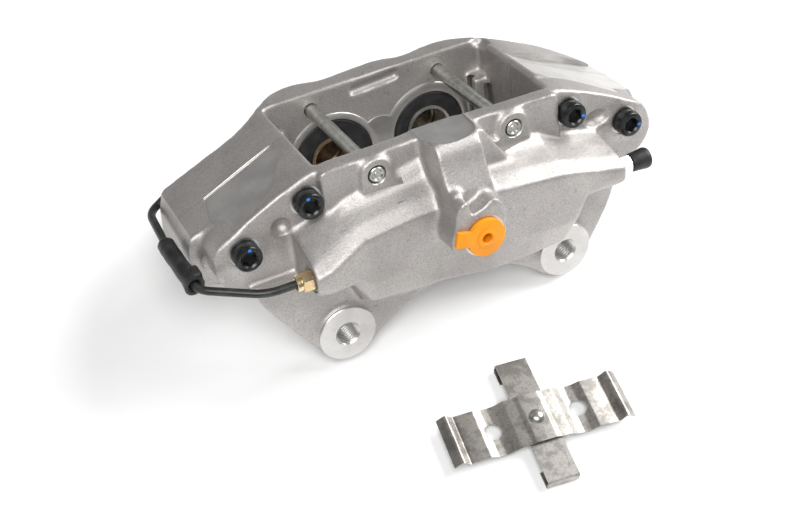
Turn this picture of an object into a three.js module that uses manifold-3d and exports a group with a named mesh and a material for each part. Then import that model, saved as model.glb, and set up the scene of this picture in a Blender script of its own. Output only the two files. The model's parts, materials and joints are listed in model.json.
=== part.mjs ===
// Fixed four-piston brake caliper, with its loose pad spring, as an assembly of separate pieces.
//
// The casting is drawn in the caliper's own axes, in millimetres:
//   x runs along the disc's rim, y runs along the disc's axle from the inboard half to the outboard
//   half, and z points away from the axle. The origin is midway between the two mounting lugs, on
//   their machined front faces.
// The whole caliper then leans back, as it does when it stands on a table on its lugs and on the
// outboard half's lower edge. The exported group has +Z up, with its origin at the bottom centre.
import * as THREE from "three";
import { mergeVertices } from "three/addons/utils/BufferGeometryUtils.js";
import Module from "manifold-3d";

// ---------------------------------------------------------------- driving dimensions
const GAP = 0.3; // left between pieces that touch
const LUG = { spacing: 150, radius: 18.5, depth: 16, bore: 6.2 };
const SPLIT_Y = 54.75; // plane where the two halves meet, the middle of the disc
const INNER_Y = { inboard: 14.5, outboard: 95 }; // cast faces that look at the disc
const WINDOW_HALF = 74; // the pads drop in between x = -74 and x = 74
const DISC = { centreZ: -77, clearance: 170 }; // the disc turns inside this radius
const PISTON = { x: 33.5, z: 60, radius: { left: 22, right: 20 }, play: 0.15, length: 24.5 };
const BORE_DEPTH = { inboard: { left: 26, right: 28 }, outboard: { left: 26, right: 26 } };
const BOOT = { extra: 4.8, depth: 4.2 }; // its recess is this much larger in radius than the bore
const SEAL = { extra: 2.6, from: 6, to: 9.6 }; // groove in the bore, measured from the ring face
const RING = { radius: 30.3, proud: 1.5 }; // machined ring round each bore
const PIN = { x: 43.6, z: 97.4, radius: 4, tipY: 106, headY: -0.4 };
const BOLT = { head: 8, headHeight: 9.4, shank: 5, seatY: 8, endY: 76, key: 4.6 };
const BOLT_PLACES = [[-123.9, 73], [-84.3, 91.9], [84.3, 91.9], [123.9, 73]];
const PORT = { // drillings parallel to x for the crossover pipe and the bleeder screws
  inboardPipe: { x: -93, y: -15, z: 57 },
  outboardPipe: { x: -92, y: 117, z: 69 },
  inboardBleeder: { x: 103.5, y: -15, z: 57 },
  outboardBleeder: { x: 98, y: 117, z: 57 },
};
const HOSE_PORT = { x: 0, z: 61, faceY: -38, radius: 13.6 };
const NUT = { spotFace: 8, across: 6.35, hex: 9, thread: 4.7, threadLength: 12, bore: 3.1 };
const BLEEDER = { thread: 4, threadLength: 16, across: 5.8, hex: 8, nipple: 3, barb: 3.7, length: 19 };
const CAP = { inner: 4.1, outer: 5.8, length: 12 };
const PIPE = { radius: 2.4, sides: 8, step: 5 };
const SLEEVE = { from: 0.36, to: 0.6, inner: 3, outer: 5 }; // part of the pipe's length
const FOOT = { y: 112, z: 18 }; // lower edge of the outboard half, which stands on the table
const SPRING = { x: 4, y: -89, turn: -0.13, thick: 0.8, height: 7 }; // loose, flat on the table
const LEAF = { width: 31.5, hole: 5.25, holeAt: 27 };
const STRAP = { width: 19.5, half: 40.5, tuck: 10 };

const LUG_EDGE = { y: LUG.depth, z: -LUG.radius };
const LEAN = Math.atan2(FOOT.z - LUG_EDGE.z, FOOT.y - LUG_EDGE.y);

// ---------------------------------------------------------------- finishes
const finish = (color, roughness, metalness) =>
  new THREE.MeshStandardMaterial({ color, roughness, metalness });
const CAST = finish(0xb9b4b0, 0.55, 0.8);
const MACHINED = finish(0xc9c9c7, 0.3, 0.95);
const BLACK_STEEL = finish(0x1c1d1e, 0.4, 0.7);
const PLATED = finish(0xa9aca8, 0.3, 0.9);
const YELLOW_ZINC = finish(0xb79a4a, 0.35, 0.8);
const RUBBER = finish(0x161717, 0.75, 0);
const ORANGE = finish(0xf29c00, 0.45, 0);
const STAINLESS = finish(0xa8a49d, 0.28, 0.95);
const ANODISED = finish(0x8d7a63, 0.4, 0.8);

// ---------------------------------------------------------------- solids
const wasm = await Module();
wasm.setup();

function solid(geometry) {
  const bare = geometry.index ? geometry.toNonIndexed() : geometry.clone();
  for (const name of Object.keys(bare.attributes)) {
    if (name !== "position") bare.deleteAttribute(name);
  }
  const merged = mergeVertices(bare, 1e-4);
  return new wasm.Manifold(new wasm.Mesh({
    numProp: 3,
    vertProperties: new Float32Array(merged.attributes.position.array),
    triVerts: new Uint32Array(merged.index.array),
  }));
}

function geometryOf(body) {
  const mesh = body.getMesh();
  const places = new Float32Array(mesh.numVert * 3);
  for (let i = 0; i < mesh.numVert; i += 1) {
    places.set(mesh.vertProperties.subarray(i * mesh.numProp, i * mesh.numProp + 3), i * 3);
  }
  const geometry = new THREE.BufferGeometry();
  geometry.setAttribute("position", new THREE.BufferAttribute(places, 3));
  geometry.setIndex(new THREE.BufferAttribute(mesh.triVerts, 1));
  return geometry;
}

const join = (...bodies) => bodies.reduce((a, b) => a.add(b));
const cut = (body, ...tools) => tools.reduce((a, b) => a.subtract(b), body);

// An outline with its corners rounded: each point is [across, up] or [across, up, corner radius].
function outline(points) {
  const shape = new THREE.Shape();
  const count = points.length;
  points.forEach((corner, i) => {
    const here = new THREE.Vector2(corner[0], corner[1]);
    const before = new THREE.Vector2(...points[(i + count - 1) % count].slice(0, 2)).sub(here);
    const after = new THREE.Vector2(...points[(i + 1) % count].slice(0, 2)).sub(here);
    const reach = Math.min(corner[2] ?? 0, before.length() / 2, after.length() / 2);
    const start = here.clone().addScaledVector(before.normalize(), reach);
    const end = here.clone().addScaledVector(after.normalize(), reach);
    if (i === 0) shape.moveTo(start.x, start.y);
    else shape.lineTo(start.x, start.y);
    if (reach > 0) shape.quadraticCurveTo(here.x, here.y, end.x, end.y);
  });
  shape.closePath();
  return shape;
}

const extrude = (shape, depth, curveSegments = 3) =>
  new THREE.ExtrudeGeometry(shape, { depth, bevelEnabled: false, curveSegments });

// Outline in x and z, pulled along y from y0 to y1.
const plate = (points, y0, y1, curve) =>
  solid(extrude(outline(points), y1 - y0, curve).rotateX(Math.PI / 2).translate(0, y1, 0));

// Outline in x and y, pulled up from z0 to z1.
const planForm = (points, z0, z1, curve) =>
  solid(extrude(outline(points), z1 - z0, curve).translate(0, 0, z0));

// Outline in y and z, pulled along x from x0 to x1.
const section = (points, x0, x1, curve) =>
  solid(extrude(outline(points), x1 - x0, curve)
    .rotateZ(Math.PI / 2).rotateY(Math.PI / 2).translate(x0, 0, 0));

const box = (x0, x1, y0, y1, z0, z1) => solid(new THREE.BoxGeometry(x1 - x0, y1 - y0, z1 - z0)
  .translate((x0 + x1) / 2, (y0 + y1) / 2, (z0 + z1) / 2));

// A cylinder parallel to y, at x and z, from y0 to y1.
const rodY = (x, z, radius, y0, y1, sides = 20) =>
  solid(new THREE.CylinderGeometry(radius, radius, y1 - y0, sides).translate(x, (y0 + y1) / 2, z));

// A cylinder parallel to x, at y and z, from x0 to x1.
const rodX = (y, z, radius, x0, x1, sides = 16) =>
  solid(new THREE.CylinderGeometry(radius, radius, x1 - x0, sides)
    .rotateZ(Math.PI / 2).translate((x0 + x1) / 2, y, z));

// A turned piece: [radius, height] points round a closed section, spun about the y axis.
function turned(points, sides = 32) {
  const closed = [...points, points[0]];
  const area = closed.slice(1).reduce(
    (sum, [r, h], i) => sum + closed[i][0] * h - r * closed[i][1], 0);
  const ordered = area > 0 ? closed : closed.slice().reverse();
  const profile = ordered.map(([r, h]) => new THREE.Vector2(r, h));
  return solid(new THREE.LatheGeometry(profile, sides));
}

const caliper = new THREE.Group(); // holds the pieces in the caliper's own axes
caliper.name = "caliper";

function piece(group, name, body, material) {
  const mesh = new THREE.Mesh(geometryOf(body), material);
  mesh.name = name;
  group.add(mesh);
  return mesh;
}

const SIDES = [["left", -1], ["right", 1]];
const BORE_SIDES = 32;

// ---------------------------------------------------------------- castings
// Front view of a half: the arch over the disc, with the bolted ends of both bridges.
const ARCH_TOP = [
  [143, 56, 5], [143.5, 68, 8], [138, 79, 8], [127, 85, 10], [104, 96.5, 20], [80, 106.5, 14],
  [66, 107.5, 6],
];
const archPoints = (lowX, lowZ) => [
  [lowX, lowZ, 5], ...ARCH_TOP,
  ...ARCH_TOP.slice().reverse().map(([x, z, r]) => [-x, z, r]), [-lowX, lowZ, 5],
  [-100, 40], [-70, 30], [70, 30], [100, 40],
];
const archTop = archPoints(132, 46);

const discSpace = rodY(0, DISC.centreZ, DISC.clearance, INNER_Y.inboard, INNER_Y.outboard, 72);
const padWindow = box(-WINDOW_HALF, WINDOW_HALF, INNER_Y.inboard, INNER_Y.outboard, -20, 140);
const ringLands = (y0, y1) => SIDES.map(([, s]) => rodY(s * PISTON.x, PISTON.z, RING.radius, y0, y1, BORE_SIDES));
const boltHoles = BOLT_PLACES.map(([x, z]) => rodY(x, z, BOLT.shank + GAP, 0, BOLT.endY + 2, 12));

// Bore, seal groove and boot recess; faceY is the ring's face and into points down the bore.
function boreTools(side, sign, faceY, into, depth) {
  const bore = PISTON.radius[side];
  const span = (from, to) => [Math.min(faceY + into * from, faceY + into * to),
    Math.max(faceY + into * from, faceY + into * to)];
  return [
    rodY(sign * PISTON.x, PISTON.z, bore, ...span(-4, depth), BORE_SIDES),
    rodY(sign * PISTON.x, PISTON.z, bore + SEAL.extra, ...span(SEAL.from, SEAL.to), BORE_SIDES),
    rodY(sign * PISTON.x, PISTON.z, bore + BOOT.extra, ...span(-4, BOOT.depth), BORE_SIDES),
  ];
}

// A spot-faced port for a tube nut at the left end, and a tapped hole for a bleeder at the right.
const pipePort = ({ x, y, z }) => [
  rodX(y, z, NUT.spotFace, x - 20, x),
  rodX(y, z, NUT.thread + GAP, x - 1, x + NUT.threadLength + 2),
];
const bleederPort = ({ x, y, z }) =>
  rodX(y, z, BLEEDER.thread + GAP, x - BLEEDER.threadLength - 2, x + 10);

function inboardHousing() {
  const wall = plate([[-70, 70], [-70, 107.5, 6], [70, 107.5, 6], [70, 70]], 3, INNER_Y.inboard);
  const body = (x0, x1, front) => section([
    [INNER_Y.inboard, 20], [2, 13, 5], [front + 4, 25, 10], [front, 36, 8], [front, 80, 7],
    [front + 9, 89, 8], [6, 94, 8], [INNER_Y.inboard, 94],
  ], x0, x1);
  const shoulder = (x0, x1) => section([
    [INNER_Y.inboard, 38], [-8, 42, 8], [-26, 50, 8], [-26, 64, 8], [-8, 74, 10], [INNER_Y.inboard, 80],
  ], x0, x1);
  const tower = planForm([
    [-16, INNER_Y.inboard], [-16.5, 2, 6], [-12, -14, 8], [0, -18, 8], [10, -14, 8], [19, -3, 8],
    [20, INNER_Y.inboard],
  ], 50, 110);
  const pinBoss = SIDES.map(([, s]) => join(
    rodY(s * PIN.x, PIN.z, 9.5, 0, INNER_Y.inboard),
    box(s * PIN.x - 8.5, s * PIN.x + 8.5, 0, INNER_Y.inboard, 84, PIN.z),
  ));
  const portBoss = join(
    rodY(HOSE_PORT.x, HOSE_PORT.z, HOSE_PORT.radius, HOSE_PORT.faceY, -10, 24),
    box(-17, -9, HOSE_PORT.faceY + 4, -12, 52, 72),
  );
  const lugs = plate([
    [-124, 48], [-116, 26, 10], [-100, -2, 10], [-86, -18.5, 9], [-64, -18.5, 9], [-54, -9, 6],
    [-34, 4, 14], [0, 13, 20], [32, 6, 14], [54, -8, 6], [64, -18.5, 9], [84, -18.5, 9],
    [93.5, -6, 8], [97, 22, 8], [104, 52],
  ], 0, LUG.depth);
  const bores = SIDES.flatMap(([side, s]) => boreTools(
    side, s, INNER_Y.inboard + RING.proud, -1, BORE_DEPTH.inboard[side]));
  const arch = cut(plate(archTop, BOLT.seatY, SPLIT_Y - GAP / 2), padWindow, discSpace);
  return cut(
    join(arch, wall, body(-66, 0, -18), body(-1, 66, -28), shoulder(-98, -60), shoulder(60, 103.5),
      tower, ...pinBoss, portBoss, lugs, ...ringLands(10, INNER_Y.inboard + RING.proud)),
    ...bores, ...boltHoles,
    ...SIDES.map(([, s]) => rodY(s * PIN.x, PIN.z, PIN.radius + GAP, -5, 20, 16)),
    ...SIDES.map(([, s]) => rodY(s * PIN.x, PIN.z, PIN.radius + 1.3, -5, 7, 16)),
    ...SIDES.map(([, s]) => rodY(s * LUG.spacing / 2, 0, LUG.bore, -5, 40)),
    ...pipePort(PORT.inboardPipe),
    bleederPort(PORT.inboardBleeder),
    rodY(HOSE_PORT.x, HOSE_PORT.z, 5, HOSE_PORT.faceY - 3, HOSE_PORT.faceY + 14),
  );
}

function outboardHousing() {
  const plan = [
    [-143, SPLIT_Y], [-143, 82, 8], [-128, 88, 8], [-86, 88, 8], [-74, 102, 8], [-60, 112, 8],
    [-44, 112.5, 6], [-31, 107, 6], [0, 111, 16], [23, 104, 6], [42, 108.5, 6], [57, 108.5, 6],
    [78, 98, 6], [90, 84, 10], [124, 82, 8], [135, 74, 8], [143, 64, 6], [143, SPLIT_Y],
  ];
  const archBlank = plate(archTop, SPLIT_Y + GAP / 2, 116).intersect(planForm(plan, -40, 160));
  const shoulder = section([
    [80, 48], [100, 50, 6], [110, 60, 8], [106, 76, 8], [94, 88, 8], [80, 90],
  ], -96, 96);
  const arch = cut(join(archBlank, shoulder), padWindow, discSpace);
  const wall = section([
    [INNER_Y.outboard, 20], [FOOT.y - 12, FOOT.z], [FOOT.y, FOOT.z], [120, 27, 6], [127, 38, 8],
    [127, 74, 10], [118, 88, 10], [106, 96, 6], [INNER_Y.outboard, 98],
  ], -66, 66);
  const bridge = section([
    [INNER_Y.outboard, 70], [112, 66, 8], [118, 50, 8], [108, 34, 8], [INNER_Y.outboard, 30],
  ], -73, 73);
  const boss = (place, x0, x1) => rodX(place.y, place.z, 10.5, x0, x1);
  const bores = SIDES.flatMap(([side, s]) => boreTools(
    side, s, INNER_Y.outboard - RING.proud, 1, BORE_DEPTH.outboard[side]));
  return cut(
    join(arch, wall, bridge, boss(PORT.outboardPipe, PORT.outboardPipe.x, -60),
      boss(PORT.outboardBleeder, 60, PORT.outboardBleeder.x),
      ...ringLands(INNER_Y.outboard - RING.proud, 99)),
    ...bores, ...boltHoles,
    ...SIDES.map(([, s]) => rodY(s * PIN.x, PIN.z, PIN.radius + GAP, 90, 120, 16)),
    ...pipePort(PORT.outboardPipe),
    bleederPort(PORT.outboardBleeder),
  );
}

piece(caliper, "inboard_housing", inboardHousing(), CAST);
piece(caliper, "outboard_housing", outboardHousing(), CAST);

// ---------------------------------------------------------------- pistons, seals and dust boots
// Profiles are [radius, distance into the bore], measured from the machined ring's face.
function pistonBody(bore) {
  const body = bore - PISTON.play;
  return turned([
    [0, 20], [12.8, 20], [12.8, -0.8], [15.4, -0.8], [15.4, 0.6], [14.6, 0.6], [14.6, 2.6],
    [15.4, 2.6], [15.4, 4.6], [body, 4.6], [body, PISTON.length], [0, PISTON.length],
  ], BORE_SIDES);
}

function bootBody(bore) {
  const rim = bore + BOOT.extra - 0.35;
  return turned([
    [15, 0.95], [15, 2.2], [17.5, 2.2], [19, 4], [rim, 4], [rim, 0.2], [16, 0.5], [16, 0.95],
  ], 20);
}

const sealBody = (bore) => turned([
  [bore + 0.2, SEAL.from + 0.3], [bore + SEAL.extra - 0.4, SEAL.from + 0.3],
  [bore + SEAL.extra - 0.4, SEAL.to - 0.3], [bore + 0.2, SEAL.to - 0.3],
], 20);

for (const [half, faceY, into] of [
  ["inboard", INNER_Y.inboard + RING.proud, -1], ["outboard", INNER_Y.outboard - RING.proud, 1],
]) {
  for (const [side, sign] of SIDES) {
    const bore = PISTON.radius[side];
    const holder = new THREE.Group();
    holder.position.set(sign * PISTON.x, faceY, PISTON.z);
    if (into < 0) holder.rotation.x = Math.PI;
    caliper.add(holder);
    piece(holder, `${half}_piston_${side}`, pistonBody(bore), ANODISED);
    piece(holder, `${half}_dust_boot_${side}`, bootBody(bore), RUBBER);
    piece(holder, `${half}_piston_seal_${side}`, sealBody(bore), RUBBER);
  }
}

// ---------------------------------------------------------------- fasteners and fittings
// A six-sided bar along y, with its corners at the given radius.
const hexY = (radius, y0, y1) => rodY(0, 0, radius, y0, y1, 6);

function bridgeBolt() {
  const top = BOLT.seatY - BOLT.headHeight;
  const under = BOLT.seatY - GAP;
  const blank = turned([
    [0, top], [BOLT.head - 0.8, top], [BOLT.head, top + 0.8], [BOLT.head, under],
    [BOLT.shank, under], [BOLT.shank, BOLT.endY - 1], [BOLT.shank - 1, BOLT.endY], [0, BOLT.endY],
  ], 20);
  return cut(blank, hexY(BOLT.key, top - 1, top + 5));
}

BOLT_PLACES.forEach(([x, z], i) => {
  piece(caliper, `bridge_bolt_${i + 1}`, bridgeBolt(), BLACK_STEEL).position.set(x, 0, z);
});

const padPin = () => cut(turned([
  [0, PIN.headY], [PIN.radius + 0.7, PIN.headY], [PIN.radius + 0.7, 6.6], [PIN.radius, 6.6],
  [PIN.radius, PIN.tipY - 1.5], [PIN.radius - 1.2, PIN.tipY], [0, PIN.tipY],
], 20), rodY(0, 0, 1.6, PIN.headY - 1, PIN.headY + 2, 12));

for (const [side, sign] of SIDES) {
  piece(caliper, `pad_pin_${side}`, padPin(), PLATED).position.set(sign * PIN.x, 0, PIN.z);
}

function hosePortPlug() {
  const face = HOSE_PORT.faceY;
  const flange = join(
    rodY(0, 0, 11.7, face - 3.2, face - GAP, 32),
    box(-19, 0, face - 3.2, face - GAP, -4.8, 4.8),
    rodY(0, 0, 7, face - 5, face - 3, 24),
  );
  const stub = rodY(0, 0, 4.6, face - 1, face + 10, 20);
  return cut(join(flange, stub), rodY(0, 0, 3, face - 6, face + 6, 16));
}

piece(caliper, "hose_port_plug", hosePortPlug(), ORANGE).position.set(HOSE_PORT.x, 0, HOSE_PORT.z);

// Fittings whose own axis is x, drawn with the port's face at x = 0.
const tubeNut = () => cut(
  join(
    rodX(0, 0, NUT.across, -GAP - NUT.hex, -GAP, 6),
    rodX(0, 0, 4.6, -GAP - NUT.hex - 3, -NUT.hex),
    rodX(0, 0, NUT.thread, -1, NUT.threadLength, 16),
  ),
  rodX(0, 0, NUT.bore, -20, 20, 12),
);

const bleederScrew = () => cut(
  join(
    rodX(0, 0, BLEEDER.thread, -BLEEDER.threadLength, 1, 16),
    rodX(0, 0, BLEEDER.across, 0.5, 0.5 + BLEEDER.hex, 6),
    rodX(0, 0, BLEEDER.nipple, BLEEDER.hex, BLEEDER.length, 16),
    rodX(0, 0, BLEEDER.barb, BLEEDER.length - 4, BLEEDER.length - 1, 16),
  ),
  rodX(0, 0, 1.1, -4, BLEEDER.length + 1, 8),
);

const bleederCap = () => {
  const start = BLEEDER.hex + 1.2;
  return cut(
    join(rodX(0, 0, CAP.outer, start, start + CAP.length - 1.5, 20),
      rodX(0, 0, CAP.outer - 1.2, start + 1, start + CAP.length, 20)),
    rodX(0, 0, CAP.inner, start - 1, start + CAP.length - 1.6, 16),
  );
};

for (const half of ["inboard", "outboard"]) {
  const pipeEnd = PORT[`${half}Pipe`];
  const bleed = PORT[`${half}Bleeder`];
  piece(caliper, `${half}_tube_nut`, tubeNut(), YELLOW_ZINC)
    .position.set(pipeEnd.x, pipeEnd.y, pipeEnd.z);
  piece(caliper, `${half}_bleeder_screw`, bleederScrew(), PLATED)
    .position.set(bleed.x, bleed.y, bleed.z);
  piece(caliper, `${half}_bleeder_cap`, bleederCap(), RUBBER)
    .position.set(bleed.x, bleed.y, bleed.z);
}

// ---------------------------------------------------------------- crossover pipe
const pipeRoute = new THREE.CatmullRomCurve3([
  [-84, -15, 57], [-96, -15, 57], [-108, -15, 57], [-120, -14, 57.1], [-131, -10.5, 57.7],
  [-141, -4.5, 59], [-150, 3, 61], [-155.2, 12, 64.3], [-157.2, 24, 66.8], [-158.6, 42, 68.7],
  [-158.6, 60, 69.4], [-157.3, 76, 69.5], [-154.5, 90, 69.4], [-148.5, 101, 69.3],
  [-139, 109, 69.2], [-127, 114.5, 69.1], [-115, 117, 69], [-104, 117, 69], [-92, 117, 69],
  [-80, 117, 69],
].map((p) => new THREE.Vector3(...p)), false, "centripetal");

function tube(curve, radius, sides, steps) {
  const ring = new THREE.Shape();
  ring.absarc(0, 0, radius, 0, 2 * Math.PI);
  return solid(new THREE.ExtrudeGeometry(ring, {
    extrudePath: curve, steps, curveSegments: sides / 2, bevelEnabled: false,
  }));
}

// The stretch of a curve between two fractions of its length.
function stretch(curve, from, to, count = 12) {
  const along = (i) => curve.getPointAt(from + (to - from) * i / count);
  return new THREE.CatmullRomCurve3(Array.from({ length: count + 1 }, (_, i) => along(i)));
}

const pipeSteps = Math.round(pipeRoute.getLength() / PIPE.step);
piece(caliper, "crossover_pipe", tube(pipeRoute, PIPE.radius, PIPE.sides, pipeSteps), BLACK_STEEL);

function pipeSleeve() {
  const route = stretch(pipeRoute, SLEEVE.from, SLEEVE.to);
  const longer = stretch(pipeRoute, SLEEVE.from - 0.02, SLEEVE.to + 0.02, 14);
  return cut(tube(route, SLEEVE.outer, 12, 12), tube(longer, SLEEVE.inner, 8, 14));
}

piece(caliper, "pipe_sleeve", pipeSleeve(), RUBBER);

// ---------------------------------------------------------------- pad spring, loose on the table
// A bent strip seen edge-on: the line's points are [along, up], and the strip is the given thickness.
function strip(line, thickness) {
  const at = line.map((p) => new THREE.Vector2(...p));
  const side = (sign) => at.map((p, i) => {
    const into = p.clone().sub(at[Math.max(i - 1, 0)]).normalize();
    const out = at[Math.min(i + 1, at.length - 1)].clone().sub(p).normalize();
    const way = into.clone().add(out).normalize();
    const lean = Math.max(way.dot(i === 0 ? out : into), 0.4);
    return [p.x - sign * way.y * thickness / 2 / lean, p.y + sign * way.x * thickness / 2 / lean];
  });
  return [...side(-1), ...side(1).reverse()];
}

const halfLeaf = [
  [7, 8.7], [9, 7.8], [15.5, 7.6], [21, 4.8], [29.5, 4.4], [34.5, 6.2], [45.5, 5.8], [50.5, 9.6],
  [52, 9.8], [56.5, 6.4],
];
const leafLine = [...halfLeaf.slice().reverse().map(([u, w]) => [-u, w]), ...halfLeaf];
const strapTop = SPRING.height - SPRING.thick / 2;
const strapLow = SPRING.thick / 2;
const strapLine = [
  [-STRAP.half + STRAP.tuck, strapLow], [-STRAP.half + 0.6, strapLow],
  [-STRAP.half, strapLow + 0.6], [-STRAP.half, strapTop - 0.6], [-STRAP.half + 0.6, strapTop],
  [STRAP.half - 0.6, strapTop], [STRAP.half, strapTop - 0.6], [STRAP.half, strapLow + 0.6],
  [STRAP.half - 0.6, strapLow], [STRAP.half - STRAP.tuck, strapLow],
];
const rodZ = (x, y, radius, z0, z1, sides = 20) => solid(
  new THREE.CylinderGeometry(radius, radius, z1 - z0, sides)
    .rotateX(Math.PI / 2).translate(x, y, (z0 + z1) / 2));

const springLeaf = () => cut(
  plate(strip(leafLine, SPRING.thick), -LEAF.width / 2, LEAF.width / 2),
  rodZ(-LEAF.holeAt, 0, LEAF.hole, -1, 12), rodZ(LEAF.holeAt, 0, LEAF.hole, -1, 12),
  rodZ(0, 0, 2.9, -1, 12),
);
const springStrap = () => cut(
  section(strip(strapLine, SPRING.thick), -STRAP.width / 2, STRAP.width / 2),
  rodZ(0, 0, 2.9, -1, 12),
);
const springRivet = () => {
  const leafTop = halfLeaf[0][1] + SPRING.thick / 2 + GAP;
  const strapUnder = strapTop - SPRING.thick / 2 - GAP;
  return turned([
    [0, strapUnder - 1.4], [3.4, strapUnder - 1.4], [4, strapUnder], [2.6, strapUnder],
    [2.6, leafTop], [4.3, leafTop], [3.9, leafTop + 1.4], [2.2, leafTop + 2.4], [0, leafTop + 2.6],
  ], 16);
};

const spring = new THREE.Group();
spring.position.set(SPRING.x, SPRING.y, 0);
spring.rotation.z = SPRING.turn;
piece(spring, "spring_leaf", springLeaf(), STAINLESS);
piece(spring, "spring_strap", springStrap(), STAINLESS);
piece(spring, "spring_rivet", springRivet(), STAINLESS).rotation.x = Math.PI / 2;

// ---------------------------------------------------------------- the part as it stands
caliper.rotation.x = -LEAN;
caliper.position.z = LUG_EDGE.y * Math.sin(LEAN) - LUG_EDGE.z * Math.cos(LEAN);

const part = new THREE.Group();
part.name = "brake_caliper";
part.add(caliper, spring);
const bounds = new THREE.Box3().setFromObject(part, true);
const middle = bounds.getCenter(new THREE.Vector3());
for (const group of [caliper, spring]) {
  group.position.x -= middle.x;
  group.position.y -= middle.y;
}

export default part;
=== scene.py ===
# %% [markdown]
# # A fixed brake caliper, from two rough castings to the last rubber cap
#
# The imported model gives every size, place and joint. This notebook gives each piece the surface
# that the real one has. It starts by loading that model, which stays as it is.

# %% Load the frame
import json
import math

import bmesh
import bpy
from mathutils import Matrix, Vector
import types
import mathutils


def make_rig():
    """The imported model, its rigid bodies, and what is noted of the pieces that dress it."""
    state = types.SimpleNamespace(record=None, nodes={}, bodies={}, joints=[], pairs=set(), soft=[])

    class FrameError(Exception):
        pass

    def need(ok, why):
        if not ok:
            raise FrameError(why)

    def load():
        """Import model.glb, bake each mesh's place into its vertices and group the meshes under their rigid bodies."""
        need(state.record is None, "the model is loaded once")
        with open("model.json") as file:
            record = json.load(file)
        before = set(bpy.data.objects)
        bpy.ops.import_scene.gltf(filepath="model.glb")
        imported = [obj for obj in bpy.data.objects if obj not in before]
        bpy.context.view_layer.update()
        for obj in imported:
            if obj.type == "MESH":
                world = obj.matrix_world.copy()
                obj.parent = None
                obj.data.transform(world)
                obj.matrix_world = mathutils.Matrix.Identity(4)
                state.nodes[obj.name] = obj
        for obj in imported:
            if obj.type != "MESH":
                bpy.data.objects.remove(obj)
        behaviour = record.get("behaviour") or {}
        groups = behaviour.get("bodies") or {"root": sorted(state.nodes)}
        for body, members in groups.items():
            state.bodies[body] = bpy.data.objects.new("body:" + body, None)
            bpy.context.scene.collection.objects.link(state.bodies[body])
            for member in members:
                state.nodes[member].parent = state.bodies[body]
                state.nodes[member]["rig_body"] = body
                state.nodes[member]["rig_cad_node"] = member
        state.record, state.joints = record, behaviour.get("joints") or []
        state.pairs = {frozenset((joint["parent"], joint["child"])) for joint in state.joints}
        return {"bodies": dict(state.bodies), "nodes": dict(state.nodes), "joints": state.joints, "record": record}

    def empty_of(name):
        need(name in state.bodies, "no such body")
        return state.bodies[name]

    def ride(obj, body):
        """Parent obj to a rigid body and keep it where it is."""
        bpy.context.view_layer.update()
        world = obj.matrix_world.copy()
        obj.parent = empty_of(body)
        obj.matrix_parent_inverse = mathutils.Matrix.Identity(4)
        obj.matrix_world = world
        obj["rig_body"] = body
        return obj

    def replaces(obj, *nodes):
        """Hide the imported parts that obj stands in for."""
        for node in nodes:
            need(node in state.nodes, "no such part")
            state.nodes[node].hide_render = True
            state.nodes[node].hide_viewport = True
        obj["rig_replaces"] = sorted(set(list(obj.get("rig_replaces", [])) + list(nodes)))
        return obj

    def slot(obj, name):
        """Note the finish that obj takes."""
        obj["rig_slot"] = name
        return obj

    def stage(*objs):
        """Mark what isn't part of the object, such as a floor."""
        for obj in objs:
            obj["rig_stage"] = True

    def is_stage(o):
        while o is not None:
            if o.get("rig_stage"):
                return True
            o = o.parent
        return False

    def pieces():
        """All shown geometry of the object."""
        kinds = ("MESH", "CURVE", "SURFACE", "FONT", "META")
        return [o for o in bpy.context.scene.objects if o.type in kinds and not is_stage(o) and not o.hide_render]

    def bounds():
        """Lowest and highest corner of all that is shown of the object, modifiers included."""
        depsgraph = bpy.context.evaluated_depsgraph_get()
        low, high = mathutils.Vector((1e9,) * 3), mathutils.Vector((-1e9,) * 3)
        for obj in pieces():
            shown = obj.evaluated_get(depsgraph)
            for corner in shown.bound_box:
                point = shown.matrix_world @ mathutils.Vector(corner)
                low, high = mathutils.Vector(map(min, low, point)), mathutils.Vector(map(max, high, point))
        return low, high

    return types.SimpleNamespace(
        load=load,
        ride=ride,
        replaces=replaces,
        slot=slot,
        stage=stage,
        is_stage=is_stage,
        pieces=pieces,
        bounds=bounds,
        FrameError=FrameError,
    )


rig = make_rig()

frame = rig.load()
cad_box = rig.bounds()
print(len(frame["nodes"]), "nodes on", len(frame["bodies"]), "bodies")

# %% [markdown]
# The caliper leans back on its lugs, so its own axes are turned against the table's. Its shapes are
# easiest to give in its own axes, in millimetres: x along the disc's rim, y along the axle from the
# inboard half to the outboard half, z away from the axle, from a point midway between the lugs. The
# lean comes from the direction in which a pad pin slides, and the origin from the place of the
# inboard bleeder's hinge, so both follow the frame.

# %% The caliper's own axes
MM = 0.001
joints = {joint["name"]: joint for joint in frame["joints"]}
pin_axis = joints["pad_pin_left_slide"]["axis"]
LEAN = math.atan2(pin_axis[2], -pin_axis[1])
BLEEDER_SEAT = Vector((103.5, -15, 57))
turn = Matrix.Rotation(-LEAN, 4, "X") @ Matrix.Scale(MM, 4)
origin = Vector(joints["inboard_bleeder_turn"]["pos_m"]) - turn @ BLEEDER_SEAT
CALIPER = Matrix.Translation(origin) @ turn
print(f"lean {math.degrees(LEAN):.2f} degrees, origin {tuple(round(v, 4) for v in origin)}")

# %% [markdown]
# ## Small tools
# Every piece starts as a bmesh in the caliper's axes and ends as an object at the world's origin
# with its place in its vertices. A few helpers do what most pieces need: a prism from an outline,
# a bar, a turned body, a cut, and the step that turns a rough body into a finished object.

# %% Prisms, bars and turned bodies
AXES = {
    "x": Matrix(((0, 0, 1, 0), (1, 0, 0, 0), (0, 1, 0, 0), (0, 0, 0, 1))),  # outline in y and z
    "y": Matrix(((1, 0, 0, 0), (0, 0, 1, 0), (0, 1, 0, 0), (0, 0, 0, 1))),  # outline in x and z
    "z": Matrix.Identity(4),  # outline in x and y
}


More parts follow.
